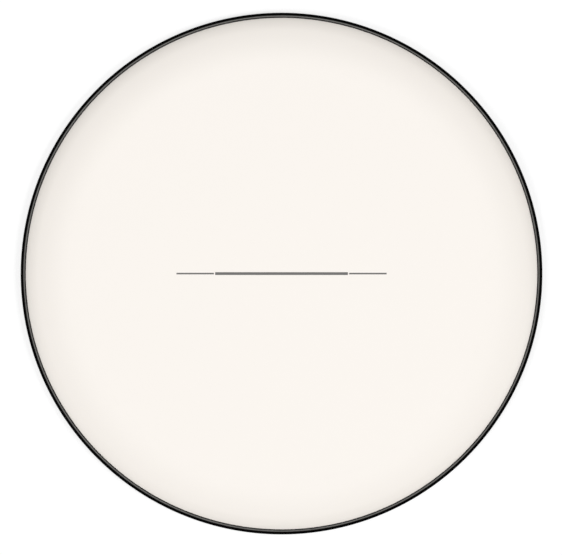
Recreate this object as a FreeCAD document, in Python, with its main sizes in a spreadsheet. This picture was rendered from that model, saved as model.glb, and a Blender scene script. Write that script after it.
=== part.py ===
import FreeCAD, Part
import math
import os

import Sketcher

# A timpani drum head, lying flat with its playing side up.
# A plastic film is formed into a shallow dome, drawn over the inner wall of a rolled metal channel
# and turned outward at the channel's floor. A steel ring is pressed in on top of that flange, the
# channel's outer lip is folded over the ring, and resin poured into the channel locks the film
# through a row of punched holes. Three bars printed on the film mark its centre.
# The axis is Z and the channel's underside is the plane of the origin. Lengths are in millimetres.

# Driving dimensions, one cell of the sheet for each.
SIZES = {
    # hoop channel
    "hoop_diameter": 787.4,  # across the outside of the channel
    "channel_width": 9,  # outside face to the face of the bore
    "channel_height": 9.5,  # underside to the top of the lip
    "channel_wall": 1.2,
    "channel_corner_radius": 1.6,  # rounding outside the two floor corners
    "lip_reach": 4.1,  # outside face to the lip's free edge
    "lip_corner_radius": 1.0,  # rounding outside the lip's fold
    "lip_edge_radius": 0.35,  # rounding of the lip's free edge
    "crown_drop": 1.9,  # top of the lip down to the inner wall's crown
    # membrane film
    "film_thickness": 0.25,
    "collar_width": 16.4,  # face of the bore to the line where the drum's bowl meets the film
    "shoulder_width": 50.3,  # that line to the edge of the flat part
    "shoulder_angle": 10.5,  # slope of the film at the bowl's lip, in degrees
    "collar_angle": 32,  # slope of the film at the hoop, in degrees
    "flange_bend_radius": 0.8,  # rounding inside the turn from skirt to flange
    "flange_end_gap": 0.9,  # flange's edge to the channel's outer wall
    "lock_hole_diameter": 2.2,
    "lock_hole_count": 72,
    # steel insert ring
    "insert_film_gap": 0.65,  # ring to the film's skirt
    "insert_wall_gap": 0.3,  # ring to the channel's outer wall
    "insert_edge_radius": 0.5,  # rounding of the ring's upper inner edge
    # bonding resin
    "bed_depth": 0.6,  # channel floor to the film's flange
    "cover_depth": 0.35,  # film's flange to the ring
    "resin_drop": 0.3,  # lower end of the crown's rounding down to the resin
    # printed bars
    "ink_thickness": 0.05,
    "centre_bar_length": 200,
    "centre_bar_width": 4.2,
    "side_bar_length": 56.5,
    "side_bar_width": 2.4,
    "bar_gap": 1.8,  # clear space between two bars
}

FULL_TURN = 360
SKETCH_NORMAL = FreeCAD.Vector(0, 0, 1)

# A sketch numbers an edge's start 1, its end 2 and a circle's centre 3. Its own origin is edge -1's start.
ORIGIN_POINT = (-1, 1)
START_THEN_END = (1, 2)
END_THEN_START = (2, 1)

doc = FreeCAD.newDocument("DrumHead")
sheet = doc.addObject("Spreadsheet::Sheet", "Sizes")
for row, (alias, number) in enumerate(SIZES.items(), start=1):
    sheet.set(f"A{row}", str(number))
    sheet.setAlias(f"A{row}", alias)
doc.recompute()


class Formula:
    """A size worked out from the sheet's cells: an expression for the document, and its value now."""

    def __init__(self, text, value):
        self.text = text
        self.value = value

    def __add__(self, other):
        return Formula(f"({self.text} + {other.text})", self.value + other.value)

    def __sub__(self, other):
        return Formula(f"({self.text} - {other.text})", self.value - other.value)

    def __mul__(self, other):
        return Formula(f"({self.text} * {other.text})", self.value * other.value)

    def __truediv__(self, other):
        return Formula(f"({self.text} / {other.text})", self.value / other.value)

    def half(self):
        return Formula(f"({self.text} / 2)", self.value / 2)

    def sin(self):
        return Formula(f"sin({self.text})", math.sin(math.radians(self.value)))

    def cos(self):
        return Formula(f"cos({self.text})", math.cos(math.radians(self.value)))


def cell(alias):
    """The formula that reads one driving dimension."""
    return Formula(f"{sheet.Name}.{alias}", sheet.get(alias))


ZERO = Formula("0", 0)

# Places that several pieces share: radii from the axis and heights above the underside.
wall = cell("channel_wall")
film_thickness = cell("film_thickness")
outside = cell("hoop_diameter").half()
bore = outside - cell("channel_width")
cavity_inside = bore + wall
cavity_outside = outside - wall
skirt = cavity_inside + film_thickness
lip_inside = outside - cell("lip_reach")
lip_underside = cell("channel_height") - wall
crown = cell("channel_height") - cell("crown_drop")
crown_radius = wall.half()
crown_middle = bore + crown_radius
crown_centre = crown - crown_radius

flange_underside = wall + cell("bed_depth")
flange_top = flange_underside + film_thickness
bend_middle = skirt + cell("flange_bend_radius")
bend_centre = flange_top + cell("flange_bend_radius")
flange_end = cavity_outside - cell("flange_end_gap")
lock_hole_circle = (bend_middle + flange_end).half()

insert_inside = skirt + cell("insert_film_gap")
insert_outside = cavity_outside - cell("insert_wall_gap")
insert_bottom = flange_top + cell("cover_depth")
resin_level = crown_centre - cell("resin_drop")

# The film's upper form, drawn on its underside: flat, then a wide shoulder arc out to the bowl's lip,
# then a tighter collar arc that meets the crown of the inner wall at the collar angle.
bearing = bore - cell("collar_width")
flat_edge = bearing - cell("shoulder_width")
shoulder_sin = cell("shoulder_angle").sin()
shoulder_cos = cell("shoulder_angle").cos()
collar_sin = cell("collar_angle").sin()
collar_cos = cell("collar_angle").cos()
collar_end = crown_middle + crown_radius * collar_sin
collar_end_height = crown_centre + crown_radius * collar_cos
collar_radius = (collar_end - bearing) / (collar_sin - shoulder_sin)
shoulder_radius = cell("shoulder_width") / shoulder_sin
bearing_height = collar_end_height + collar_radius * (shoulder_cos - collar_cos)
playing_underside = bearing_height + shoulder_radius - shoulder_radius * shoulder_cos
playing_top = playing_underside + film_thickness


def origin_plane(body, role):
    """One of a body's own origin planes."""
    return next(plane for plane in body.Origin.OriginFeatures if plane.Role == role)


def sketch_on(body, role, name):
    """An empty sketch on one of the body's origin planes."""
    sketch = body.newObject("Sketcher::SketchObject", name)
    sketch.AttachmentSupport = [(origin_plane(body, role), "")]
    sketch.MapMode = "FlatFace"
    return sketch


def bind(sketch, constraint, formula):
    """Adds a sized constraint whose value follows a formula."""
    index = sketch.addConstraint(constraint)
    sketch.setExpression(f"Constraints[{index}]", formula.text)


def place(sketch, edge, end, across, along):
    """Holds one end of an edge at its two distances from the sketch's origin."""
    for distance, level, apart in (
        (across, "Vertical", "DistanceX"),
        (along, "Horizontal", "DistanceY"),
    ):
        if distance is ZERO:
            sketch.addConstraint(Sketcher.Constraint(level, *ORIGIN_POINT, edge, end))
        else:
            held = Sketcher.Constraint(apart, *ORIGIN_POINT, edge, end, distance.value)
            bind(sketch, held, distance)


def arc_between(start, end, radius, turn):
    """The arc under a half circle from start to end, to the left or the right of the way it goes."""
    chord = end - start
    half = chord.Length / 2
    to_left = FreeCAD.Vector(-chord.y, chord.x, 0).normalize()
    rise = math.sqrt(radius**2 - half**2)
    centre = (start + end) / 2 + to_left * (rise if turn == "left" else -rise)
    first, last = (start, end) if turn == "left" else (end, start)
    angles = [math.atan2(p.y - centre.y, p.x - centre.x) for p in (first, last)]
    return Part.ArcOfCircle(Part.Circle(centre, SKETCH_NORMAL, radius), *angles)


def draw_outline(sketch, edges):
    """Draws a closed outline. Each edge says where it ends, and an arc also its turn and radius.

    An arc runs anticlockwise in a sketch, so one that turns right is drawn from its end to its start.
    """
    ends = [FreeCAD.Vector(edge[0].value, edge[1].value, 0) for edge in edges]
    first_and_last_points = []
    for index, (_, _, *bend) in enumerate(edges):
        start, end = ends[index - 1], ends[index]
        if bend:
            turn, radius = bend
            edge = sketch.addGeometry(arc_between(start, end, radius.value, turn))
            bind(sketch, Sketcher.Constraint("Radius", edge, radius.value), radius)
        else:
            turn = "straight"
            sketch.addGeometry(Part.LineSegment(start, end))
        first_and_last_points.append(END_THEN_START if turn == "right" else START_THEN_END)
    for index, (across, along, *_) in enumerate(edges):
        following = (index + 1) % len(edges)
        last = first_and_last_points[index][1]
        next_first = first_and_last_points[following][0]
        sketch.addConstraint(Sketcher.Constraint("Coincident", index, last, following, next_first))
        place(sketch, index, last, across, along)


def lathe(label, edges):
    """A body turned about Z from an outline of radii and heights."""
    body = doc.addObject("PartDesign::Body", label)
    body.Label = label
    outline = sketch_on(body, "XZ_Plane", f"{label}_outline")
    draw_outline(outline, edges)
    turned = body.newObject("PartDesign::Revolution", f"{label}_turned")
    turned.Profile = outline
    turned.ReferenceAxis = (outline, ["V_Axis"])
    turned.Angle = FULL_TURN
    doc.recompute()
    return body


def lock_hole_sketch(body, height):
    """One lock hole's circle, on the hole circle at a height."""
    sketch = sketch_on(body, "XY_Plane", f"{body.Name}_lock_hole")
    sketch.setExpression("AttachmentOffset.Base.z", height.text)
    middle = FreeCAD.Vector(lock_hole_circle.value, 0, 0)
    radius = cell("lock_hole_diameter").half()
    circle = Part.Circle(middle, SKETCH_NORMAL, radius.value)
    edge = sketch.addGeometry(circle)
    centre_point = 3
    place(sketch, edge, centre_point, lock_hole_circle, ZERO)
    bind(sketch, Sketcher.Constraint("Radius", edge, radius.value), radius)
    return sketch


def repeat_round(body, feature):
    """Repeats a feature at every lock hole."""
    pattern = body.newObject("PartDesign::PolarPattern", f"{feature.Name}s")
    pattern.Originals = [feature]
    pattern.Axis = (feature.Profile[0], ["N_Axis"])
    pattern.Angle = FULL_TURN
    pattern.setExpression("Occurrences", cell("lock_hole_count").text)
    body.Tip = pattern
    doc.recompute()


def hoop_channel():
    """The rolled channel: floor, tall outer wall with its lip folded in, and round-topped inner wall."""
    corner = cell("channel_corner_radius")
    lip_corner = cell("lip_corner_radius")
    lip_edge = cell("lip_edge_radius")
    top = cell("channel_height")
    return lathe(
        "hoop_channel",
        [
            (bore + corner, ZERO, "left", corner),
            (outside - corner, ZERO),
            (outside, corner, "left", corner),
            (outside, top - lip_corner),
            (outside - lip_corner, top, "left", lip_corner),
            (lip_inside + lip_edge, top),
            (lip_inside, top - lip_edge, "left", lip_edge),
            (lip_inside, lip_underside),
            (cavity_outside, lip_underside),
            (cavity_outside, wall),
            (cavity_inside, wall),
            (cavity_inside, crown_centre),
            (crown_middle, crown, "left", crown_radius),
            (bore, crown_centre, "left", crown_radius),
            (bore, corner),
        ],
    )


def membrane_film():
    """The film: dome, collar, skirt down the inner wall and flange along the floor, with lock holes."""
    crown_outer = crown_radius + film_thickness
    collar_outer = collar_radius + film_thickness
    shoulder_outer = shoulder_radius + film_thickness
    bend_outer = cell("flange_bend_radius") + film_thickness
    bearing_top = bearing + film_thickness * shoulder_sin
    bearing_top_height = bearing_height + film_thickness * shoulder_cos
    collar_top = crown_middle + crown_outer * collar_sin
    collar_top_height = crown_centre + crown_outer * collar_cos
    body = lathe(
        "membrane_film",
        [
            (ZERO, playing_underside),
            (flat_edge, playing_underside),
            (bearing, bearing_height, "right", shoulder_radius),
            (collar_end, collar_end_height, "right", collar_radius),
            (cavity_inside, crown_centre, "right", crown_radius),
            (cavity_inside, bend_centre),
            (bend_middle, flange_underside, "left", bend_outer),
            (flange_end, flange_underside),
            (flange_end, flange_top),
            (bend_middle, flange_top),
            (skirt, bend_centre, "right", cell("flange_bend_radius")),
            (skirt, crown_centre),
            (collar_top, collar_top_height, "left", crown_outer),
            (bearing_top, bearing_top_height, "left", collar_outer),
            (flat_edge, playing_top, "left", shoulder_outer),
            (ZERO, playing_top),
        ],
    )
    solid_volume = body.Shape.Volume
    hole = body.newObject("PartDesign::Pocket", "lock_hole")
    hole.Profile = lock_hole_sketch(body, flange_underside)
    hole.Type = "ThroughAll"
    hole.Reversed = True
    doc.recompute()
    repeat_round(body, hole)
    print("lock holes take", round(solid_volume - body.Shape.Volume, 2), "mm3 out of the film")
    return body


def steel_insert_ring():
    """The rectangular steel ring under the lip, with its upper inner edge rounded."""
    edge = cell("insert_edge_radius")
    return lathe(
        "steel_insert_ring",
        [
            (insert_inside, insert_bottom),
            (insert_outside, insert_bottom),
            (insert_outside, lip_underside),
            (insert_inside + edge, lip_underside),
            (insert_inside, lip_underside - edge, "left", edge),
        ],
    )


def bonding_resin(film):
    """The poured resin: what the ring and the film leave of the channel, with a hollow top between them."""
    pour = lathe(
        "resin_pour",
        [
            (cavity_inside, wall),
            (cavity_outside, wall),
            (cavity_outside, lip_underside),
            (insert_outside, lip_underside),
            (insert_outside, insert_bottom),
            (insert_inside, insert_bottom),
            (insert_inside, resin_level),
            (skirt, resin_level, "right", cell("insert_film_gap")),
            (cavity_inside, resin_level),
        ],
    )
    resin = doc.addObject("Part::Cut", "bonding_resin")
    resin.Label = "bonding_resin"
    resin.Base = pour
    resin.Tool = film
    doc.recompute()
    return resin


def printed_bar(label, middle, length, width):
    """One bar of ink on the film, along X."""
    body = doc.addObject("PartDesign::Body", label)
    body.Label = label
    sketch = sketch_on(body, "XY_Plane", f"{label}_outline")
    sketch.setExpression("AttachmentOffset.Base.z", playing_top.text)
    left, right = middle - length.half(), middle + length.half()
    front, back = ZERO - width.half(), width.half()
    draw_outline(sketch, [(left, front), (right, front), (right, back), (left, back)])
    ink = body.newObject("PartDesign::Pad", f"{label}_ink")
    ink.Profile = sketch
    ink.setExpression("Length", cell("ink_thickness").text)
    doc.recompute()
    return body


def printed_bars():
    """The wide bar across the centre and a narrow one beyond each of its ends."""
    centre_end = cell("centre_bar_length").half()
    side_middle = centre_end + cell("bar_gap") + cell("side_bar_length").half()
    side_size = (cell("side_bar_length"), cell("side_bar_width"))
    return [
        printed_bar("centre_bar", ZERO, cell("centre_bar_length"), cell("centre_bar_width")),
        printed_bar("left_bar", ZERO - side_middle, *side_size),
        printed_bar("right_bar", side_middle, *side_size),
    ]


def check(pieces):
    """Stops the build if any object failed or any piece isn't one valid solid."""
    for item in doc.Objects:
        if {"Invalid", "Error"} & set(item.State):
            raise RuntimeError(f"{item.Label} failed: {item.State}")
    for piece in pieces:
        shape = piece.Shape
        if shape.isNull() or not shape.isValid() or len(shape.Solids) != 1:
            raise RuntimeError(f"{piece.Label} is not one valid solid")


def export(pieces):
    """Writes one STEP file for each piece and prints its volume and box."""
    os.makedirs("parts", exist_ok=True)
    for piece in pieces:
        piece.Shape.exportStep(f"parts/{piece.Label}.step")
        box = piece.Shape.optimalBoundingBox()
        heights = f"from {box.ZMin:.3f} to {box.ZMax:.3f} high"
        print(f"{piece.Label}: {piece.Shape.Volume:.1f} mm3, {box.XLength:.2f} wide, {heights}")


film = membrane_film()
pieces = [
    hoop_channel(),
    film,
    steel_insert_ring(),
    bonding_resin(film),
    *printed_bars(),
]
doc.recompute()
check(pieces)
export(pieces)
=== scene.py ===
import logging
import math
from dataclasses import dataclass
from enum import Enum
from typing import Any, Mapping, Optional, Sequence, Union

import bpy
import numpy as np
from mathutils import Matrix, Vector


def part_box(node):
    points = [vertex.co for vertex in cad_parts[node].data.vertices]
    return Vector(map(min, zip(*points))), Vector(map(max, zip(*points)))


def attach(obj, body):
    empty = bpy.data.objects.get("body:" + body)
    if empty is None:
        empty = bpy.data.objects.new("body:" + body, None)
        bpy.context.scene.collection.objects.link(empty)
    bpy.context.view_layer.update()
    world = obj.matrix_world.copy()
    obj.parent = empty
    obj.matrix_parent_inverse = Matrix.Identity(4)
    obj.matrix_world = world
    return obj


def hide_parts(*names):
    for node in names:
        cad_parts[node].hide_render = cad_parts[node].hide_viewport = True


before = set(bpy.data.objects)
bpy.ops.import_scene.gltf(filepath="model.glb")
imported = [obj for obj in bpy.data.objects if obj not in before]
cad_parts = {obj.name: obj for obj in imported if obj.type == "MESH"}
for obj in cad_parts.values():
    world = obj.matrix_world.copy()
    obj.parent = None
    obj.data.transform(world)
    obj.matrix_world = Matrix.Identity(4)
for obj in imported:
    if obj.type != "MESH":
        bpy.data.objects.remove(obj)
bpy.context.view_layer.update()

# A timpani head that lies flat with its playing side up: a cream film locked into a black channel hoop
# by a steel ring and resin, with a line printed across its centre. Lengths are in metres, the axis is Z
# and the hoop's underside is the plane of the origin.

log = logging.getLogger("drum_head")

MILLIMETRE = 0.001
FULL_TURN = 2 * math.pi
QUARTER_TURN = math.pi / 2

# About how much of a turn one step of a small rounding takes.
ROUNDING_STEP = QUARTER_TURN / 8

# The photograph's frame, and where the head lies in it, in pixels from its upper left corner.
PHOTO_WIDTH_PX = 562
PHOTO_HEIGHT_PX = 555
HEAD_CENTRE_X_PX = 281.53
HEAD_CENTRE_Y_PX = 273.60
HEAD_RADIUS_PX = 260.85

BODY = "root"

# The name of a piece's flat layout, through which its finish can be baked, and the share of a band
# of that layout that is left free at each edge.
BAKE_MAP = "OFBake"
BAND_MARGIN = 0.015

Colour = tuple[float, float, float]
Paint = tuple[float, float, float, float]
Amount = Union["Shade", float]


class Slot(Enum):
    """The record's material slots."""

    HOOP = "hoop"
    FILM = "film"
    INSERT = "insert"
    RESIN = "resin"
    INK = "ink"


class Turn(Enum):
    """Which way an arc of a section bends, looking along the way it is drawn."""

    LEFT = 1.0
    RIGHT = -1.0


def placed(name: str, data: bpy.types.ID) -> bpy.types.Object:
    """Puts new data into the scene as an object, at the origin.

    Args:
        name: the object's name.
        data: its mesh, light or camera.

    Returns:
        The object.
    """
    made = bpy.data.objects.new(name, data)
    bpy.context.scene.collection.objects.link(made)
    return made


class Section:
    """Half of a turned piece's cross-section, drawn as straight runs and arcs of radius and height.

    A closed section is drawn anticlockwise, with radius to the right and height up, so that its faces
    point outwards.
    """

    def __init__(self, radius: float, height: float) -> None:
        """Starts the section at one corner."""
        self.runs: list[np.ndarray] = [np.array([[radius, height]])]

    @property
    def count(self) -> int:
        """How many points it has so far."""
        return sum(len(run) for run in self.runs)

    def line(self, radius: float, height: float, steps: int = 1) -> None:
        """Draws a straight run to a corner.

        Args:
            radius: the corner's distance from the axis.
            height: its height.
            steps: how many equal pieces the run is cut into.
        """
        start = self.runs[-1][-1]
        share = np.linspace(0, 1, steps + 1)[1:, None]
        self.runs.append(start + share * (np.array([radius, height]) - start))

    def arc(
        self, radius: float, height: float, bend: float, turn: Turn, steps: Optional[int] = None
    ) -> None:
        """Draws an arc of under a half circle to a corner.

        The arc's centre stands off the middle of the chord by the square root of the bend squared less
        half the chord squared, and the points go round it at equal angles.

        Args:
            radius: the corner's distance from the axis.
            height: its height.
            bend: the arc's own radius.
            turn: the way it bends.
            steps: how many pieces it is cut into, if not by the step of a small rounding.
        """
        start, end = self.runs[-1][-1], np.array([radius, height])
        chord = end - start
        half = np.hypot(*chord) / 2
        to_left = np.array([-chord[1], chord[0]]) / (2 * half)
        centre = (start + end) / 2 + turn.value * to_left * math.sqrt(max(bend**2 - half**2, 0.0))
        first = math.atan2(*(start - centre)[::-1])
        swept = 2 * math.asin(min(half / bend, 1.0))
        pieces = steps or max(1, round(swept / ROUNDING_STEP))
        angles = first + turn.value * swept * np.linspace(0, 1, pieces + 1)[1:]
        self.runs.append(centre + bend * np.stack([np.cos(angles), np.sin(angles)], axis=1))

    def points(self) -> np.ndarray:
        """All points as rows of radius and height."""
        return np.concatenate(self.runs)

    def outward(self) -> np.ndarray:
        """Which way is out of a closed section: square to the line between a point's neighbours.

        Returns:
            A unit row of radius and height for each point.
        """
        points = self.points()
        along = np.roll(points, -1, axis=0) - np.roll(points, 1, axis=0)
        square = np.stack([along[:, 1], -along[:, 0]], axis=1)
        return square / np.linalg.norm(square, axis=1, keepdims=True)


@dataclass(frozen=True)
class Surface:
    """A mesh as whole arrays: its points, its faces by their number of corners, and their flat layout.

    It starts as rings, which are loops of equally many points. Quads join each ring to the next.
    """

    points: np.ndarray
    quads: np.ndarray
    triangles: np.ndarray
    layout: Optional[np.ndarray] = None
    sharp_angle: float = math.radians(30)

    @classmethod
    def looped(cls, rings: np.ndarray) -> "Surface":
        """A closed surface whose last ring joins its first.

        Args:
            rings: rings by points by coordinates.

        Returns:
            The surface.
        """
        quads = cls.strips(*rings.shape[:2])
        return cls(rings.reshape(-1, 3), quads, np.empty((0, 3), int), cls.bands(rings))

    @staticmethod
    def bands(rings: np.ndarray) -> np.ndarray:
        """Lays a closed surface's quads out flat, in as many bands as make the layout about square.

        The bands lie over each other, and each holds an equal part of the turn. A point's place along
        its band is its number in that part. Its place across is the way from the first ring to its own,
        as a share of the whole way round the section.

        Args:
            rings: rings by points by coordinates.

        Returns:
            Two coordinates from 0 to 1 for each corner of each quad.
        """
        levels, count = rings.shape[:2]
        steps = np.linalg.norm(np.roll(rings, -1, axis=0) - rings, axis=2).mean(axis=1)
        turn = np.linalg.norm(np.roll(rings[0], -1, axis=0) - rings[0], axis=1).sum()
        bands = round(math.sqrt(turn / steps.sum()))
        length = math.ceil(count / bands)
        band, number = np.divmod(np.arange(count), length)
        way = np.concatenate([[0.0], np.cumsum(steps)]) / steps.sum()
        along = (number[:, None] + np.array([0, 1, 1, 0])) / length
        across = np.stack([way[:-1], way[:-1], way[1:], way[1:]], axis=1)
        along, across = (BAND_MARGIN + (1 - 2 * BAND_MARGIN) * share for share in (along, across))
        upward = (band[:, None] + across[:, None]) / bands
        return np.stack([np.broadcast_to(along, (levels, count, 4)), upward], axis=3).reshape(-1, 2)

    @classmethod
    def capped(cls, rings: np.ndarray, bottom: Sequence[float], top: Sequence[float]) -> "Surface":
        """A closed surface whose first and last ring are each joined to a single point by triangles.

        Args:
            rings: rings by points by coordinates.
            bottom: the point inside the first ring.
            top: the point inside the last.

        Returns:
            The surface.
        """
        levels, count = rings.shape[:2]
        side = np.arange(count)
        following = np.roll(side, -1)
        last = count * (levels - 1)
        pole = np.full(count, count * levels)
        below = np.stack([pole, following, side], axis=1)
        above = np.stack([last + side, last + following, pole + 1], axis=1)
        points = np.concatenate([rings.reshape(-1, 3), [bottom, top]])
        return cls(points, cls.strips(levels, count)[:-count], np.concatenate([below, above]))

    @staticmethod
    def strips(levels: int, count: int) -> np.ndarray:
        """The quads between each ring and the next, and at the end between the last and the first.

        Args:
            levels: how many rings there are.
            count: how many points a ring has.

        Returns:
            Rows of four corners, strip after strip.
        """
        side = np.arange(count)
        following = np.roll(side, -1)
        below = np.arange(levels)[:, None] * count
        above = np.roll(below, -1, axis=0)
        quads = np.stack([below + side, below + following, above + following, above + side], axis=2)
        return quads.reshape(-1, 4)

    def piece(self, name: str) -> bpy.types.Object:
        """Makes the object of this surface, at the origin. Edges over the sharp angle stay sharp.

        Args:
            name: the piece's name.

        Returns:
            The new object, linked to the scene.
        """
        corners = np.concatenate([self.quads.ravel(), self.triangles.ravel()])
        totals = np.repeat([4, 3], [len(self.quads), len(self.triangles)])
        starts = np.concatenate([[0], np.cumsum(totals)[:-1]])
        mesh = bpy.data.meshes.new(name)
        mesh.vertices.add(len(self.points))
        mesh.vertices.foreach_set("co", self.points.astype(np.float32).ravel())
        mesh.loops.add(len(corners))
        mesh.loops.foreach_set("vertex_index", corners.astype(np.int32))
        mesh.polygons.add(len(totals))
        mesh.polygons.foreach_set("loop_start", starts.astype(np.int32))
        mesh.polygons.foreach_set("loop_total", totals.astype(np.int32))
        mesh.polygons.foreach_set("use_smooth", np.ones(len(totals), bool))
        mesh.update(calc_edges=True)
        mesh.validate()
        mesh.set_sharp_from_angle(angle=self.sharp_angle)
        if self.layout is not None:
            flat = mesh.uv_layers.new(name=BAKE_MAP)
            flat.uv.foreach_set("vector", self.layout.astype(np.float32).ravel())
        return placed(name, mesh)


@dataclass(frozen=True)
class Lathe:
    """Turns sections about the axis.

    A point of the surface is (radius cos a, radius sin a, height), for every point of the section and
    every angle a of an even division of the turn, with more angles where a seam crosses it. The last
    angle joins the first, so no gap is left.
    """

    sides: int = 720
    seam_angles: tuple[float, ...] = ()

    def angles(self) -> np.ndarray:
        """The angles of the division, in radians."""
        even = np.arange(self.sides) * FULL_TURN / self.sides
        return np.unique(np.concatenate([even, self.seam_angles]))

    def rings(self, section: np.ndarray, push: Optional[np.ndarray] = None) -> np.ndarray:
        """The points of every ring.

        Args:
            section: rows of radius and height.
            push: radius and height to add, for every point of the section and every angle.

        Returns:
            An array of section points by angles by coordinates.
        """
        angles = self.angles()
        still = np.zeros((len(section), len(angles), 2))
        moved = section[:, None] + (still if push is None else push)
        radius, height = moved[..., 0], moved[..., 1]
        return np.stack([radius * np.cos(angles), radius * np.sin(angles), height], axis=2)

    def ring(self, section: Section, push: Optional[np.ndarray] = None) -> Surface:
        """A ring from a closed section, with radius and height to add at every angle."""
        return Surface.looped(self.rings(section.points(), push))

    def dome(self, section: Section) -> Surface:
        """A solid from a section that starts and ends on the axis, whose ends become single points."""
        (_, bottom), *_, (_, top) = section.points()
        return Surface.capped(self.rings(section.points()[1:-1]), (0.0, 0.0, bottom), (0.0, 0.0, top))


@dataclass(frozen=True)
class LockHoles:
    """The row of holes punched in the film's flange, which the resin goes through.

    The flange is cut into one sector for each hole. A sector's border runs out along a spoke, round the
    flange's edge, in along the next spoke and back round the bend. The hole has as many points, each
    its middle plus its radius times (cos b, sin b) at equal angles b, and quads join it to the border.
    """

    count: int = 72
    radius: float = 1.1 * MILLIMETRE
    spoke_points: int = 3

    def cut(self, turned: Surface, sides: int, bend_ring: int) -> Surface:
        """Cuts the holes through two level faces that lie over each other.

        Args:
            turned: the piece, whose points and quads start with its rings.
            sides: how many points a ring has.
            bend_ring: the ring at the bend, where the first face starts. The face's outer edge follows
                it, and then the second face's outer edge and its end at the bend.

        Returns:
            The piece with its holes.
        """
        kept = np.delete(turned.quads.reshape(-1, sides, 4), [bend_ring, bend_ring + 2], axis=0)
        points, border, near = self.face(turned.points, sides, bend_ring, bend_ring + 1)
        first = self.joined(border, near)[..., ::-1]
        points, border, far = self.face(points, sides, bend_ring + 3, bend_ring + 2)
        second = self.joined(border, far)
        walls = self.joined(far, near)
        quads = np.concatenate([part.reshape(-1, 4) for part in (kept, first, second, walls)])
        return Surface(points, quads, turned.triangles)

    def face(
        self, points: np.ndarray, sides: int, inner_ring: int, outer_ring: int
    ) -> tuple[np.ndarray, np.ndarray, np.ndarray]:
        """Lays out one face's sectors.

        Args:
            points: all points so far, to which the spokes' and the holes' are added.
            sides: how many points a ring has.
            inner_ring: the number of the ring at the bend.
            outer_ring: the number of the ring at the flange's edge.

        Returns:
            All points, and the numbers of the points of each sector's border and of its hole.
        """
        sector = sides // self.count
        starts = np.arange(self.count)[:, None] * sector - sector // 2
        along = (starts + np.arange(sector + 1)) % sides
        inner, outer = inner_ring * sides + along, outer_ring * sides + along
        share = np.arange(1, self.spoke_points + 1)[:, None] / (self.spoke_points + 1)
        spokes = points[inner[:, :1]] * (1 - share) + points[outer[:, :1]] * share
        spoke = len(points) + np.arange(self.count * self.spoke_points).reshape(self.count, -1)
        inward = np.roll(spoke, -1, axis=0)[:, ::-1]
        border = np.concatenate([inner[:, :1], spoke, outer, inward, inner[:, :0:-1]], axis=1)

        middle = (points[inner[:, sector // 2]] + points[outer[:, sector // 2]]) / 2
        heading = np.arange(self.count)[:, None] * FULL_TURN / self.count
        corners = border.shape[1]
        past_spoke = np.arange(corners) - (self.spoke_points + 1) / 2
        angle = heading - QUARTER_TURN + past_spoke * FULL_TURN / corners
        round_hole = np.stack([np.cos(angle), np.sin(angle), np.zeros_like(angle)], axis=2)
        edges = middle[:, None] + self.radius * round_hole
        hole = len(points) + spoke.size + np.arange(border.size).reshape(border.shape)
        return np.concatenate([points, spokes.reshape(-1, 3), edges.reshape(-1, 3)]), border, hole

    @staticmethod
    def joined(outer: np.ndarray, inner: np.ndarray) -> np.ndarray:
        """The quads between loops of points and the loops inside them."""
        return np.stack([outer, np.roll(outer, -1, axis=1), np.roll(inner, -1, axis=1), inner], axis=2)


class Shade:
    """One output of a shader node, with Python's operators as Math nodes."""

    def __init__(self, desk: "Desk", socket: Optional[bpy.types.NodeSocket]) -> None:
        """Wraps a socket of the desk's tree."""
        self.desk = desk
        self.socket = socket

    def out(self, name: str) -> "Shade":
        """Another output of the same node."""
        return Shade(self.desk, self.socket.node.outputs[name])

    def math(self, operation: str, *others: Amount) -> "Shade":
        """A Math node on this value and others."""
        inputs = dict(enumerate((self, *others)))
        return self.desk.node("ShaderNodeMath", {"operation": operation}, inputs)

    def __add__(self, other: Amount) -> "Shade":
        """The sum of two values."""
        return self.math("ADD", other)

    def __mul__(self, other: Amount) -> "Shade":
        """The product of two values."""
        return self.math("MULTIPLY", other)

    __radd__, __rmul__ = __add__, __mul__

    def __sub__(self, other: Amount) -> "Shade":
        """This value less another."""
        return self.math("SUBTRACT", other)

    def __rsub__(self, other: float) -> "Shade":
        """A number less this value."""
        return self.desk.node("ShaderNodeMath", {"operation": "SUBTRACT"}, {0: other, 1: self})

    def __pow__(self, power: float) -> "Shade":
        """This value raised to a power."""
        return self.math("POWER", power)

    def mixed(self, other: "Shade", share: float) -> "Shade":
        """A share of this value and the rest of another."""
        return self * share + other * (1 - share)

    def about(self, middle: Amount, reach: float) -> "Shade":
        """These values, which lie about a half, spread about another middle."""
        return middle + (self - 0.5) * reach

    def ramp(self, low: float, high: float) -> "Shade":
        """A smooth step from 0 at low to 1 at high, which may be the other way round."""
        settings = {"interpolation_type": "SMOOTHSTEP"}
        return self.desk.node("ShaderNodeMapRange", settings, {0: self, 1: low, 2: high})


def scaled(colour: Colour, factor: float) -> Paint:
    """A colour made lighter or darker by a factor, with full cover."""
    red, green, blue = colour
    return (red * factor, green * factor, blue * factor, 1.0)


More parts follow.
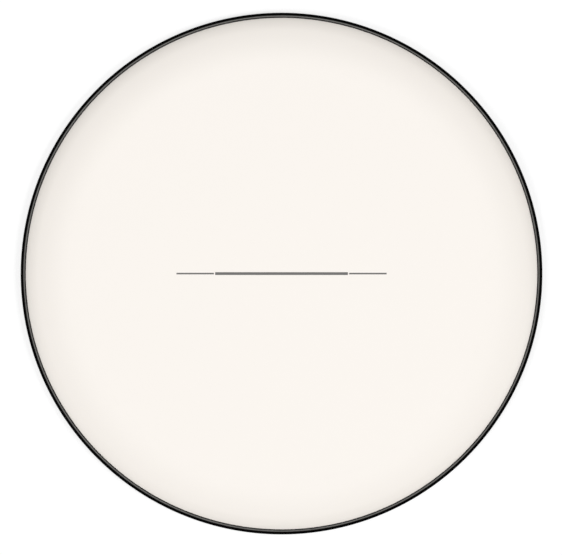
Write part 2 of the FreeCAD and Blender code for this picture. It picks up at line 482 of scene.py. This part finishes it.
class Desk:
    """Builds the node tree of one material or world."""

    def __init__(self, owner: Union[bpy.types.Material, bpy.types.World]) -> None:
        """Empties the owner's tree.

        Args:
            owner: the material or world.
        """
        owner.use_nodes = True
        self.tree = owner.node_tree
        self.tree.nodes.clear()

    def node(
        self,
        kind: str,
        settings: Optional[Mapping[str, Any]] = None,
        inputs: Optional[Mapping[Union[int, str], Any]] = None,
    ) -> Shade:
        """Adds one node.

        Args:
            kind: the node's type.
            settings: its own properties, set first.
            inputs: a value or a link for each named or numbered socket.

        Returns:
            Its first output in use.
        """
        made = self.tree.nodes.new(kind)
        for name, value in (settings or {}).items():
            setattr(made, name, value)
        for key, value in (inputs or {}).items():
            if isinstance(value, Shade):
                self.tree.links.new(value.socket, made.inputs[key])
            else:
                made.inputs[key].default_value = value
        return Shade(self, next((socket for socket in made.outputs if socket.enabled), None))


class PieceDesk(Desk):
    """A desk for a finish. It reads a piece's own coordinates and their distance from the axis."""

    def __init__(self, material: bpy.types.Material) -> None:
        """Empties the finish's tree and puts the coordinates into it.

        Args:
            material: the finish's material.
        """
        super().__init__(material)
        self.here = self.node("ShaderNodeTexCoord").out("Object")
        self.x = self.node("ShaderNodeSeparateXYZ", None, {0: self.here})
        self.y, self.z = self.x.out("Y"), self.x.out("Z")
        self.radius = (self.x * self.x + self.y * self.y) ** 0.5

    def noise(self, scale: float, detail: float = 3.0, at: Optional[Shade] = None) -> Shade:
        """Soft random values about a half, with scale features to the metre."""
        inputs = {"Vector": self.here if at is None else at, "Scale": scale, "Detail": detail}
        return self.node("ShaderNodeTexNoise", None, inputs)

    def round_lines(self, spacing: float) -> Shade:
        """Fine lines that run round the axis, as drawing and rolling leave them.

        The noise is read at (radius, height) alone, so it is the same all the way round, apart from a
        slow drift that ends one line and starts another.

        Args:
            spacing: about how far apart the lines are, in metres.

        Returns:
            Values about a half.
        """
        drift_scale, drift_lines = 9.0, 3
        drift = self.noise(drift_scale) * (drift_lines * spacing)
        across = self.node("ShaderNodeCombineXYZ", None, {0: self.radius, 1: self.z, 2: drift})
        return self.noise(1 / spacing, at=across)

    def blend(self, share: Amount, first: Any, second: Any) -> Shade:
        """A colour between two, by a share from 0 to 1."""
        return self.node("ShaderNodeMix", {"data_type": "RGBA"}, {0: share, 6: first, 7: second})

    def varied(self, colour: Colour, tone: Shade, spread: float) -> Shade:
        """A colour made darker and lighter by a spread, as a tone goes from 0 to 1."""
        return self.blend(tone, scaled(colour, 1 - spread), scaled(colour, 1 + spread))

    def bump(self, height: Shade, depth: float) -> Shade:
        """A normal that follows a height from 0 to 1, standing for a depth in metres."""
        return self.node("ShaderNodeBump", None, {"Height": height, "Distance": depth})

    def principled(
        self, colour: Shade, roughness: Shade, specular: float, normal: Shade, metallic: Amount = 0.0
    ) -> Shade:
        """Blender's main surface shader.

        Args:
            colour: the base colour.
            roughness: from 0 for a mirror to 1 for matt.
            specular: how much a surface that isn't metal mirrors, where 0.5 is usual.
            normal: the bumps.
            metallic: from 0 to 1 for bare metal.

        Returns:
            The shader.
        """
        inputs = {
            "Base Color": colour,
            "Roughness": roughness,
            "Specular IOR Level": specular,
            "Normal": normal,
            "Metallic": metallic,
        }
        return self.node("ShaderNodeBsdfPrincipled", None, inputs)


@dataclass(frozen=True, kw_only=True)
class Finish:
    """What every finish has: the slot that it fills, its main colour and its specular level.

    In every finish a scale is in features to the metre, and a spread is how far a value varies.
    """

    slot: Slot
    colour: Colour
    specular: float

    def surface(self, desk: PieceDesk) -> Shade:
        """The finish's shader, which each kind gives."""
        raise NotImplementedError

    def dress(self, pieces: Mapping[str, bpy.types.Object]) -> None:
        """Dresses pieces in this finish and lets each ride in place of its solid.

        Args:
            pieces: each new piece, under the name of the solid that it stands for.
        """
        material = bpy.data.materials.new(f"{self.slot.value}_finish")
        desk = PieceDesk(material)
        desk.node("ShaderNodeOutputMaterial", None, {"Surface": self.surface(desk)})
        for solid, piece in pieces.items():
            piece.data.materials.append(material)
            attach(piece, BODY)
            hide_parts(solid)
            log.info("%s: %d faces, for %s", piece.name, len(piece.data.polygons), solid)


@dataclass(frozen=True, kw_only=True)
class FilmFinish(Finish):
    """Hazy polyester: an even cream with cloudy haze, a fine coated grain and a soft sheen."""

    slot: Slot = Slot.FILM
    colour: Colour = (0.828, 0.784, 0.733)
    colour_spread: float = 0.025
    specular: float = 0.735
    roughness: float = 0.48
    roughness_spread: float = 0.08
    cloud_scale: float = 11.0
    cloud_share: float = 0.15
    fleck_scale: float = 2600.0
    grain_scale: float = 3000.0
    grain_depth: float = 0.022 * MILLIMETRE

    def surface(self, desk: PieceDesk) -> Shade:
        """Cream with slow clouds and fine flecks of haze, and a grain in its normal.

        Args:
            desk: the finish's desk.

        Returns:
            The shader.
        """
        clouds = desk.noise(self.cloud_scale)
        flecks = desk.noise(self.fleck_scale)
        grain = desk.noise(self.grain_scale)
        haze = clouds.mixed(flecks, self.cloud_share)
        return desk.principled(
            colour=desk.varied(self.colour, haze, self.colour_spread),
            roughness=flecks.about(self.roughness, self.roughness_spread),
            specular=self.specular,
            normal=desk.bump(grain, self.grain_depth),
        )


@dataclass(frozen=True, kw_only=True)
class HoopFinish(Finish):
    """Black anodised channel: matt on the folded lip, satin and finely drawn on its walls."""

    slot: Slot = Slot.HOOP
    colour: Colour = (0.0007, 0.0007, 0.0007)
    specular: float = 0.0075
    lip_spread: float = 0.6
    lip_roughness: float = 0.62
    wall_colour: Colour = (0.028, 0.028, 0.029)
    wall_spread: float = 0.4
    wall_roughness: float = 0.4
    roughness_spread: float = 0.3
    wall_top: float = 9.1 * MILLIMETRE
    lip_fade: float = 0.4 * MILLIMETRE
    line_spacing: float = 0.5 * MILLIMETRE
    line_depth: float = 0.015 * MILLIMETRE
    line_share: float = 0.6
    cloud_scale: float = 45.0
    bare_colour: Colour = (0.4, 0.4, 0.41)
    nick_top: float = 0.9 * MILLIMETRE
    nick_scale: float = 420.0
    nick_detail: float = 6.0
    nick_flatness: float = 6.0
    nick_level: float = 0.66
    nick_edge: float = 0.04

    def nicks(self, desk: PieceDesk) -> Shade:
        """Where the black is knocked off along the lower edge.

        Args:
            desk: the finish's desk.

        Returns:
            1 on bare metal and 0 elsewhere.
        """
        inputs = {0: desk.here, 1: (1.0, 1.0, self.nick_flatness)}
        flat = desk.node("ShaderNodeVectorMath", {"operation": "MULTIPLY"}, inputs)
        spots = desk.noise(self.nick_scale, self.nick_detail, flat)
        low_down = desk.z.ramp(self.nick_top, 0.0)
        return low_down * spots.ramp(self.nick_level, self.nick_level + self.nick_edge)

    def surface(self, desk: PieceDesk) -> Shade:
        """Black with drawn lines, turning to dark metal below the lip, and nicked along the lower edge.

        Args:
            desk: the finish's desk.

        Returns:
            The shader.
        """
        lines = desk.round_lines(self.line_spacing)
        tone = lines.mixed(desk.noise(self.cloud_scale), self.line_share)
        wall = desk.z.ramp(self.wall_top, self.wall_top - self.lip_fade)
        bare = self.nicks(desk)
        matt = desk.varied(self.colour, tone, self.lip_spread)
        satin = desk.varied(self.wall_colour, tone, self.wall_spread)
        black = desk.blend(wall, matt, satin)
        roughness = self.lip_roughness + wall * (self.wall_roughness - self.lip_roughness)
        return desk.principled(
            colour=desk.blend(bare, black, scaled(self.bare_colour, 1.0)),
            roughness=tone.about(roughness, self.roughness_spread),
            specular=self.specular,
            normal=desk.bump(lines, self.line_depth),
            metallic=wall.math("MAXIMUM", bare),
        )


@dataclass(frozen=True, kw_only=True)
class InsertFinish(Finish):
    """Dark drawn steel, with fine lines round the ring and a dark band along its inner edge: partly
    resin smear, partly painted shade of the groove beside the film.
    """

    slot: Slot = Slot.INSERT
    colour: Colour = (0.112, 0.109, 0.103)
    colour_spread: float = 0.25
    metal_share: float = 0.35
    specular: float = 0.1
    roughness: float = 0.62
    roughness_spread: float = 0.2
    line_spacing: float = 0.3 * MILLIMETRE
    line_depth: float = 0.01 * MILLIMETRE
    line_share: float = 0.5
    stain_scale: float = 60.0
    inner_edge: float
    # The inner-edge band's colour: partly smeared resin, partly painted shade of the groove between
    # ring and film.
    smear_and_shade_colour: Colour = (0.006, 0.006, 0.006)
    smear_and_shade_start: float = 0.3 * MILLIMETRE
    smear_and_shade_end: float = 1.5 * MILLIMETRE
    smear_and_shade_spread: float = 0.6 * MILLIMETRE

    def surface(self, desk: PieceDesk) -> Shade:
        """Grey with drawn lines in its colour and gloss, and an uneven dark band along the inner edge,
        partly resin smear and partly painted groove shade.

        Args:
            desk: the finish's desk.

        Returns:
            The shader.
        """
        lines = desk.round_lines(self.line_spacing)
        stain = desk.noise(self.stain_scale)
        tone = lines.mixed(stain, self.line_share)
        # The dark band along the inner edge is partly resin smear and partly painted shade of the
        # groove beside the film.
        from_edge = stain.about(desk.radius - self.inner_edge, self.smear_and_shade_spread)
        smear_and_shade = from_edge.ramp(self.smear_and_shade_end, self.smear_and_shade_start)
        steel = desk.varied(self.colour, tone, self.colour_spread)
        return desk.principled(
            colour=desk.blend(smear_and_shade, steel, scaled(self.smear_and_shade_colour, 1.0)),
            roughness=lines.about(self.roughness, self.roughness_spread),
            specular=self.specular,
            normal=desk.bump(lines, self.line_depth),
            metallic=self.metal_share * (1 - smear_and_shade),
        )


@dataclass(frozen=True, kw_only=True)
class ResinFinish(Finish):
    """Set resin: dark, slightly uneven and glossy, with small bubbles."""

    slot: Slot = Slot.RESIN
    colour: Colour = (0.006, 0.006, 0.006)
    colour_spread: float = 0.3
    specular: float = 0.1
    roughness: float = 0.3
    cloud_scale: float = 90.0
    bubble_scale: float = 260.0
    bubble_middle: float = 0.12
    bubble_edge: float = 0.22
    bubble_roughness: float = 0.25
    bubble_depth: float = 0.08 * MILLIMETRE

    def surface(self, desk: PieceDesk) -> Shade:
        """Dark grey with clouds, and pits where bubbles burst.

        Args:
            desk: the finish's desk.

        Returns:
            The shader.
        """
        clouds = desk.noise(self.cloud_scale)
        inputs = {"Vector": desk.here, "Scale": self.bubble_scale}
        cells = desk.node("ShaderNodeTexVoronoi", None, inputs)
        bubbles = cells.ramp(self.bubble_edge, self.bubble_middle)
        return desk.principled(
            colour=desk.varied(self.colour, clouds, self.colour_spread),
            roughness=self.roughness + bubbles * self.bubble_roughness,
            specular=self.specular,
            normal=desk.bump(1 - bubbles, self.bubble_depth),
        )


@dataclass(frozen=True, kw_only=True)
class InkFinish(Finish):
    """Screen-printed ink: a matt grey with a faint mesh and small uneven spots."""

    slot: Slot = Slot.INK
    colour: Colour = (0.165, 0.162, 0.155)
    colour_spread: float = 0.12
    specular: float = 0.2
    roughness: float = 0.72
    roughness_spread: float = 0.2
    mesh_pitch: float = 0.4 * MILLIMETRE
    mesh_share: float = 0.3
    mottle_scale: float = 700.0
    mesh_depth: float = 0.01 * MILLIMETRE

    def surface(self, desk: PieceDesk) -> Shade:
        """Grey with the screen's mesh and mottling.

        The mesh is the product of two sine waves, along X and along Y, at the mesh's pitch.

        Args:
            desk: the finish's desk.

        Returns:
            The shader.
        """
        waves = FULL_TURN / self.mesh_pitch
        mesh = (desk.x * waves).math("SINE") * (desk.y * waves).math("SINE") * 0.5 + 0.5
        mottle = desk.noise(self.mottle_scale)
        tone = mesh.mixed(mottle, self.mesh_share)
        return desk.principled(
            colour=desk.varied(self.colour, tone, self.colour_spread),
            roughness=mottle.about(self.roughness, self.roughness_spread),
            specular=self.specular,
            normal=desk.bump(tone, self.mesh_depth),
        )


@dataclass(frozen=True)
class RimSizes:
    """The rim's section, which the pieces share. The first three sizes come from the frame."""

    outside: float
    height: float
    wall: float
    width: float = 9.0 * MILLIMETRE
    corner: float = 1.6 * MILLIMETRE
    lip_reach: float = 4.1 * MILLIMETRE
    lip_corner: float = 1.0 * MILLIMETRE
    lip_edge: float = 0.35 * MILLIMETRE
    crown_drop: float = 1.9 * MILLIMETRE
    film_thickness: float = 0.25 * MILLIMETRE
    insert_film_gap: float = 0.65 * MILLIMETRE

    @classmethod
    def from_frame(cls) -> "RimSizes":
        """Reads the hoop's outside and height, and its wall from the resin that fills it.

        Returns:
            The sizes.
        """
        hoop_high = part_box("hoop_channel")[1]
        resin_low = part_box("bonding_resin")[0]
        return cls(hoop_high.x, hoop_high.z, resin_low.z)

    @property
    def bore(self) -> float:
        """Radius of the hoop's inside face."""
        return self.outside - self.width

    @property
    def lip(self) -> float:
        """Radius of the folded lip's free edge."""
        return self.outside - self.lip_reach

    @property
    def lip_underside(self) -> float:
        """Height of the folded lip's underside."""
        return self.height - self.wall

    @property
    def cavity_inside(self) -> float:
        """Radius of the channel's inner wall, inside the channel."""
        return self.bore + self.wall

    @property
    def cavity_outside(self) -> float:
        """Radius of the channel's outer wall, inside the channel."""
        return self.outside - self.wall

    @property
    def crown_radius(self) -> float:
        """Rounding of the inner wall's top."""
        return self.wall / 2

    @property
    def crown_middle(self) -> float:
        """Radius at which that rounding has its centre."""
        return self.bore + self.crown_radius

    @property
    def crown_centre(self) -> float:
        """Height of that centre."""
        return self.height - self.crown_drop - self.crown_radius

    @property
    def skirt(self) -> float:
        """Radius of the film's outer face inside the channel."""
        return self.cavity_inside + self.film_thickness

    @property
    def insert_inside(self) -> float:
        """Radius of the steel ring's inner face."""
        return self.skirt + self.insert_film_gap


@dataclass(frozen=True)
class FilmSizes:
    """The film's section, with its angles in degrees. The first three sizes come from the frame."""

    top: float
    flange_end: float
    flange_underside: float
    rim: RimSizes
    collar_width: float = 16.4 * MILLIMETRE
    shoulder_width: float = 50.3 * MILLIMETRE
    shoulder_angle: float = 10.5
    collar_angle: float = 32.0
    flange_bend: float = 0.8 * MILLIMETRE

    @classmethod
    def from_frame(cls, rim: RimSizes) -> "FilmSizes":
        """Reads the film's top, its flange's edge and its flange's underside.

        Args:
            rim: the section that the film is drawn into.

        Returns:
            The sizes.
        """
        low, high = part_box("membrane_film")
        return cls(high.z, high.x, low.z, rim)

    @property
    def thickness(self) -> float:
        """The film's thickness."""
        return self.rim.film_thickness

    @property
    def flange_top(self) -> float:
        """Height of the flange's upper face."""
        return self.flange_underside + self.thickness

    @property
    def bend_outer(self) -> float:
        """Rounding outside the turn from skirt to flange."""
        return self.flange_bend + self.thickness

    @property
    def bend_middle(self) -> float:
        """Radius at which that turn has its centre."""
        return self.rim.skirt + self.flange_bend

    @property
    def bend_centre(self) -> float:
        """Height of that centre."""
        return self.flange_top + self.flange_bend

    @property
    def bearing(self) -> float:
        """Radius of the line where a drum's bowl meets the film."""
        return self.rim.bore - self.collar_width

    @property
    def flat(self) -> float:
        """Radius of the film's flat part."""
        return self.bearing - self.shoulder_width


@dataclass(frozen=True)
class Hoop:
    """The rim: the channel, the steel ring in it and the resin that locks the film."""

    rim: RimSizes
    film: FilmSizes
    lathe: Lathe
    lock_holes: LockHoles
    insert_edge: float = 0.5 * MILLIMETRE
    resin_drop: float = 0.3 * MILLIMETRE
    resin_wave: float = 0.09 * MILLIMETRE
    seam_at: float = QUARTER_TURN
    seam_width: float = 0.5 * MILLIMETRE
    seam_depth: float = 0.18 * MILLIMETRE
    seam_points: int = 5
    wall_steps: int = 3

    def channel(self) -> bpy.types.Object:
        """The channel: floor, outer wall with its lip folded in, and round-topped inner wall.

        Its two ends meet at the seam, where the whole section is drawn in. The depth falls evenly from
        the middle of the seam to nothing at its edges.

        Returns:
            The piece.
        """
        rim = self.rim
        section = Section(rim.bore, rim.corner)
        section.arc(rim.bore + rim.corner, 0.0, rim.corner, Turn.LEFT)
        section.line(rim.outside - rim.corner, 0.0, self.wall_steps)
        section.arc(rim.outside, rim.corner, rim.corner, Turn.LEFT)
        section.line(rim.outside, rim.height - rim.lip_corner, self.wall_steps)
        section.arc(rim.outside - rim.lip_corner, rim.height, rim.lip_corner, Turn.LEFT)
        section.line(rim.lip + rim.lip_edge, rim.height, self.wall_steps)
        section.arc(rim.lip, rim.height - rim.lip_edge, rim.lip_edge, Turn.LEFT)
        section.line(rim.lip, rim.lip_underside)
        section.line(rim.cavity_outside, rim.lip_underside)
        section.line(rim.cavity_outside, rim.wall)
        section.line(rim.cavity_inside, rim.wall)
        section.line(rim.cavity_inside, rim.crown_centre)
        section.arc(rim.crown_middle, rim.crown_centre + rim.crown_radius, rim.crown_radius, Turn.LEFT)
        section.arc(rim.bore, rim.crown_centre, rim.crown_radius, Turn.LEFT)

        half_angle = self.seam_width / (2 * rim.outside)
        across = np.linspace(-half_angle, half_angle, self.seam_points)
        lathe = Lathe(self.lathe.sides, tuple(self.seam_at + across))
        from_seam = np.abs(lathe.angles() - self.seam_at) / half_angle
        groove = self.seam_depth * np.clip(1 - from_seam, 0, 1)
        push = -section.outward()[:, None] * groove[:, None]
        return lathe.ring(section, push).piece("rolled_channel")

    def insert(self) -> bpy.types.Object:
        """The rectangular steel ring, with its upper inner edge rounded.

        Returns:
            The piece.
        """
        low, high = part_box("steel_insert_ring")
        inside, edge = self.rim.insert_inside, self.insert_edge
        section = Section(inside, low.z)
        section.line(high.x, low.z)
        section.line(high.x, high.z)
        section.line(inside + edge, high.z, self.wall_steps)
        section.arc(inside, high.z - edge, edge, Turn.LEFT)
        return self.lathe.ring(section).piece("steel_ring")

    def wave(self) -> np.ndarray:
        """The set resin's level round the head.

        A sum of four sine waves of 5, 11, 23 and 47 to the turn, each weaker than the one before.

        Returns:
            A value from -1 to 1 for each angle.
        """
        counts = np.array([5, 11, 23, 47])[:, None]
        weights = np.array([0.4, 0.3, 0.2, 0.1])[:, None]
        starts = np.array([0.4, 2.1, 4.4, 1.3])[:, None]
        return (weights * np.sin(counts * self.lathe.angles() + starts)).sum(axis=0)

    def resin(self) -> bpy.types.Object:
        """The resin: what ring and film leave of the channel, with a hollow, slightly wavy top.

        Returns:
            The piece.
        """
        rim, film = self.rim, self.film
        ring_low, ring_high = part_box("steel_insert_ring")
        level = rim.crown_centre - self.resin_drop
        section = Section(rim.cavity_inside, rim.wall)
        section.line(rim.cavity_outside, rim.wall)
        section.line(rim.cavity_outside, rim.lip_underside)
        section.line(ring_high.x, rim.lip_underside)
        section.line(ring_high.x, ring_low.z)
        section.line(rim.insert_inside, ring_low.z)
        hollow_start = section.count
        section.line(rim.insert_inside, level)
        section.arc(rim.skirt, level, rim.insert_film_gap, Turn.RIGHT)
        hollow_end = section.count
        section.line(rim.skirt, film.bend_centre)
        section.arc(film.bend_middle, film.flange_top, film.flange_bend, Turn.LEFT)
        bend_ring = section.count - 1
        section.line(film.flange_end, film.flange_top)
        section.line(film.flange_end, film.flange_underside)
        section.line(film.bend_middle, film.flange_underside)
        section.arc(rim.cavity_inside, film.bend_centre, film.bend_outer, Turn.RIGHT)

        wave = self.wave()
        push = np.zeros((section.count, len(wave), 2))
        push[hollow_start:hollow_end, :, 1] = self.resin_wave * wave
        poured = self.lathe.ring(section, push)
        return self.lock_holes.cut(poured, self.lathe.sides, bend_ring).piece("resin_bed")

    def build(self) -> None:
        """Makes and dresses the three pieces."""
        steel = InsertFinish(inner_edge=self.rim.insert_inside)
        HoopFinish().dress({"hoop_channel": self.channel()})
        steel.dress({"steel_insert_ring": self.insert()})
        ResinFinish().dress({"bonding_resin": self.resin()})


@dataclass(frozen=True)
class Membrane:
    """The film, from the middle of the playing side to its flange in the channel."""

    rim: RimSizes
    film: FilmSizes
    lathe: Lathe
    lock_holes: LockHoles
    flat_steps: int = 8
    flat_border: float = 4.0 * MILLIMETRE
    shoulder_steps: int = 16
    collar_steps: int = 14
    skirt_steps: int = 2

    def sheet(self) -> bpy.types.Object:
        """The film: a flat middle, a wide shoulder arc, a tighter collar arc, skirt and flange.

        The shoulder arc starts level and ends at the shoulder angle, so its radius is its width over
        the angle's sine. The collar arc goes on from there to the collar angle, where it meets the
        rounding of the hoop's inner wall. The upper face is the lower one moved out by the thickness.

        Returns:
            The piece.
        """
        rim, film = self.rim, self.film
        shoulder_sin, shoulder_cos = self.sin_cos(film.shoulder_angle)
        collar_sin, collar_cos = self.sin_cos(film.collar_angle)
        shoulder = film.shoulder_width / shoulder_sin
        collar_end = rim.crown_middle + rim.crown_radius * collar_sin
        collar_end_height = rim.crown_centre + rim.crown_radius * collar_cos
        collar = (collar_end - film.bearing) / (collar_sin - shoulder_sin)
        underside = film.top - film.thickness
        bearing_height = underside - shoulder * (1 - shoulder_cos)
        bearing_top = film.bearing + film.thickness * shoulder_sin
        bearing_top_height = bearing_height + film.thickness * shoulder_cos
        crown_outer = rim.crown_radius + film.thickness
        collar_top = rim.crown_middle + crown_outer * collar_sin
        collar_top_height = rim.crown_centre + crown_outer * collar_cos
        collar_outer = collar + film.thickness
        shoulder_outer = shoulder + film.thickness

        section = Section(0.0, underside)
        section.line(film.flat - self.flat_border, underside, self.flat_steps)
        section.line(film.flat, underside)
        section.arc(film.bearing, bearing_height, shoulder, Turn.RIGHT, self.shoulder_steps)
        section.arc(collar_end, collar_end_height, collar, Turn.RIGHT, self.collar_steps)
        section.arc(rim.cavity_inside, rim.crown_centre, rim.crown_radius, Turn.RIGHT)
        section.line(rim.cavity_inside, film.bend_centre, self.skirt_steps)
        section.arc(film.bend_middle, film.flange_underside, film.bend_outer, Turn.LEFT)
        # The first point lies on the axis and makes no ring, so rings are numbered from the second.
        bend_ring = section.count - 2
        section.line(film.flange_end, film.flange_underside)
        section.line(film.flange_end, film.flange_top)
        section.line(film.bend_middle, film.flange_top)
        section.arc(rim.skirt, film.bend_centre, film.flange_bend, Turn.RIGHT)
        section.line(rim.skirt, rim.crown_centre, self.skirt_steps)
        section.arc(collar_top, collar_top_height, crown_outer, Turn.LEFT)
        section.arc(bearing_top, bearing_top_height, collar_outer, Turn.LEFT, self.collar_steps)
        section.arc(film.flat, film.top, shoulder_outer, Turn.LEFT, self.shoulder_steps)
        section.line(film.flat - self.flat_border, film.top)
        section.line(0.0, film.top, self.flat_steps)
        formed = self.lathe.dome(section)
        return self.lock_holes.cut(formed, self.lathe.sides, bend_ring).piece("cream_film")

    @staticmethod
    def sin_cos(angle: float) -> tuple[float, float]:
        """Sine and cosine of an angle in degrees."""
        return math.sin(math.radians(angle)), math.cos(math.radians(angle))

    def build(self) -> None:
        """Makes and dresses the film."""
        FilmFinish().dress({"membrane_film": self.sheet()})


@dataclass(frozen=True)
class PrintedLine:
    """The centre mark: three bars of ink, each a thin slab with rounded corners."""

    corner: float = 0.35 * MILLIMETRE
    corner_steps: int = 6
    edge_share: float = 0.4
    edge_steps: int = 3

    def outline(self, low: Vector, high: Vector, inset: np.ndarray) -> np.ndarray:
        """A rectangle's outline with its corners rounded, once for each inset.

        Each corner is a quarter circle about a point one corner radius inside both sides.

        Args:
            low: the bar's lowest corner.
            high: its highest corner.
            inset: how far each outline is drawn in.

        Returns:
            Insets by points by x and y, anticlockwise from the front right corner.
        """
        steps = np.linspace(0, 1, self.corner_steps + 1)
        angles = (np.arange(-1, 3)[:, None] + steps) * QUARTER_TURN
        centre_x = np.array([high.x, high.x, low.x, low.x]) + self.corner * np.array([-1, -1, 1, 1])
        centre_y = np.array([low.y, high.y, high.y, low.y]) + self.corner * np.array([1, -1, -1, 1])
        reach = (self.corner - inset)[:, None, None]
        x = centre_x[:, None] + reach * np.cos(angles)
        y = centre_y[:, None] + reach * np.sin(angles)
        return np.stack([x.reshape(len(inset), -1), y.reshape(len(inset), -1)], axis=2)

    def bar(self, node: str, name: str) -> bpy.types.Object:
        """One bar, where its solid is.

        Outlines lie over each other: the underside's, and those of the rounded upper edge, each drawn
        in by the rounding times one less cos e and raised by it times sin e, for equal steps of e to a
        quarter turn. The first and the last are closed by triangles to the middle.

        Args:
            node: the solid that gives its place.
            name: the piece's name.

        Returns:
            The bar.
        """
        low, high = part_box(node)
        rounding = self.edge_share * (high.z - low.z)
        angle = np.linspace(0, QUARTER_TURN, self.edge_steps + 1)
        inset = np.concatenate([[0.0], rounding * (1 - np.cos(angle))])
        height = np.concatenate([[low.z], high.z - rounding * (1 - np.sin(angle))])
        outlines = self.outline(low, high, inset)
        raised = np.broadcast_to(height[:, None, None], (*outlines.shape[:2], 1))
        rings = np.concatenate([outlines, raised], axis=2)
        middle = (low + high) / 2
        bottom, top = (middle.x, middle.y, low.z), (middle.x, middle.y, high.z)
        return Surface.capped(rings, bottom, top).piece(name)

    def build(self) -> None:
        """Makes and dresses the three bars."""
        names = {"centre_bar": "wide_print", "left_bar": "left_print", "right_bar": "right_print"}
        InkFinish().dress({node: self.bar(node, name) for node, name in names.items()})


@dataclass(frozen=True)
class Lamp:
    """A wide, distant soft lamp. Its angles are in degrees: tilt from overhead, heading from +X."""

    name: str
    level: float
    tilt: float
    heading: float
    width: float

    def build(self) -> None:
        """Hangs the lamp. A level of 1 straight overhead shows a colour as it is written."""
        light = bpy.data.lights.new(self.name, "SUN")
        light.energy = math.pi * self.level
        light.angle = math.radians(self.width)
        tilt, heading = math.radians(self.tilt), math.radians(self.heading)
        across = math.sin(tilt)
        towards = Vector((across * math.cos(heading), across * math.sin(heading), math.cos(tilt)))
        made = placed(self.name, light)
        made.rotation_mode = "QUATERNION"
        made.rotation_quaternion = (-towards).to_track_quat("-Z", "Y")


def seen_directly(desk: Desk) -> Shade:
    """Tells apart what is looked at from what only lights the object.

    Args:
        desk: the tree's desk.

    Returns:
        1 for rays from the camera, a mirror or glass, and 0 for light that spreads.
    """
    path = desk.node("ShaderNodeLightPath")
    camera, glossy = path.out("Is Camera Ray"), path.out("Is Glossy Ray")
    return camera.math("MAXIMUM", glossy).math("MAXIMUM", path.out("Is Transmission Ray"))


@dataclass(frozen=True)
class Studio:
    """A pale floor, a soft lamp overhead, one to each side and a faint even light from all round.

    A fourth lamp shines up through the floor, which lets its rays pass, and shows the underside.
    """

    lamps: tuple[Lamp, ...] = (
        Lamp("overhead", level=0.55, tilt=2.0, heading=-50.0, width=28.0),
        Lamp("left_side", level=0.205, tilt=52.0, heading=-146.0, width=24.0),
        Lamp("right_side", level=0.24, tilt=50.0, heading=-18.0, width=24.0),
        Lamp("from_below", level=0.65, tilt=180.0, heading=0.0, width=60.0),
    )
    ambient_level: float = 0.17
    floor_colour: Colour = (0.6, 0.6, 0.6)
    floor_glow: float = 0.43
    floor_radius: float = 30.0
    floor_sides: int = 96
    floor_gap: float = 0.1 * MILLIMETRE
    lens_mm: float = 200.0
    sensor_mm: float = 36.0
    sight: float = 100.0

    def world(self) -> None:
        """White where it is seen, and a faint even light where it isn't."""
        world = bpy.data.worlds.new("studio")
        bpy.context.scene.world = world
        desk = Desk(world)
        level = self.ambient_level + seen_directly(desk) * (1 - self.ambient_level)
        light = desk.node("ShaderNodeBackground", None, {"Color": (1, 1, 1, 1), "Strength": level})
        desk.node("ShaderNodeOutputWorld", None, {"Surface": light})

    def floor_material(self) -> bpy.types.Material:
        """A matt white that glows where it is seen, and lets light and looks from below through.

        Returns:
            The new material.
        """
        material = bpy.data.materials.new("pale_floor")
        desk = Desk(material)
        glow = seen_directly(desk) * self.floor_glow
        matt = desk.node("ShaderNodeBsdfDiffuse", None, {"Color": scaled(self.floor_colour, 1.0)})
        shine = desk.node("ShaderNodeEmission", None, {"Strength": glow})
        upper = desk.node("ShaderNodeAddShader", None, {0: matt, 1: shine})
        clear = desk.node("ShaderNodeBsdfTransparent")
        underside = desk.node("ShaderNodeNewGeometry").out("Backfacing")
        to_lamp = desk.node("ShaderNodeLightPath").out("Is Shadow Ray")
        passing = underside.math("MAXIMUM", to_lamp)
        both = desk.node("ShaderNodeMixShader", None, {0: passing, 1: upper, 2: clear})
        desk.node("ShaderNodeOutputMaterial", None, {"Surface": both})
        return material

    def floor(self) -> None:
        """A pale disc just under the hoop, which takes its shadow."""
        angles = np.arange(self.floor_sides) * FULL_TURN / self.floor_sides
        x, y = self.floor_radius * np.cos(angles), self.floor_radius * np.sin(angles)
        points = np.stack([x, y, np.full(self.floor_sides, -self.floor_gap)], axis=1)
        mesh = bpy.data.meshes.new("floor")
        mesh.from_pydata(points, [], [range(self.floor_sides)])
        mesh.materials.append(self.floor_material())
        placed("floor", mesh)

    def camera(self, rim: RimSizes) -> None:
        """A long lens straight above, placed so that the rim fills its circle of the photograph.

        The lens's length in pixels over the rim's pixels per metre is the camera's distance from the
        height at which the hoop's wall ends.

        Args:
            rim: the rim's sizes.
        """
        data = bpy.data.cameras.new("camera")
        data.lens = self.lens_mm
        data.sensor_width = self.sensor_mm
        data.clip_end = self.sight
        pixels_per_metre = HEAD_RADIUS_PX / rim.outside
        lens_px = PHOTO_WIDTH_PX * self.lens_mm / self.sensor_mm
        made = placed("camera", data)
        made.location = (
            (PHOTO_WIDTH_PX / 2 - HEAD_CENTRE_X_PX) / pixels_per_metre,
            (HEAD_CENTRE_Y_PX - PHOTO_HEIGHT_PX / 2) / pixels_per_metre,
            rim.height - rim.lip_corner + lens_px / pixels_per_metre,
        )
        bpy.context.scene.camera = made

    def build(self, rim: RimSizes) -> None:
        """Sets up the world, floor, lamps and camera round a hoop.

        Args:
            rim: the hoop's sizes.
        """
        self.world()
        self.floor()
        for lamp in self.lamps:
            lamp.build()
        self.camera(rim)
        bpy.context.scene.view_settings.view_transform = "Standard"


def main() -> None:
    """Builds the head's pieces in order, then the studio round them."""
    logging.basicConfig(level=logging.INFO, format="%(name)s %(message)s")
    rim = RimSizes.from_frame()
    film = FilmSizes.from_frame(rim)
    lathe = Lathe()
    lock_holes = LockHoles()
    Hoop(rim, film, lathe, lock_holes).build()
    Membrane(rim, film, lathe, lock_holes).build()
    PrintedLine().build()
    Studio().build(rim)


if __name__ == "__main__":
    main()
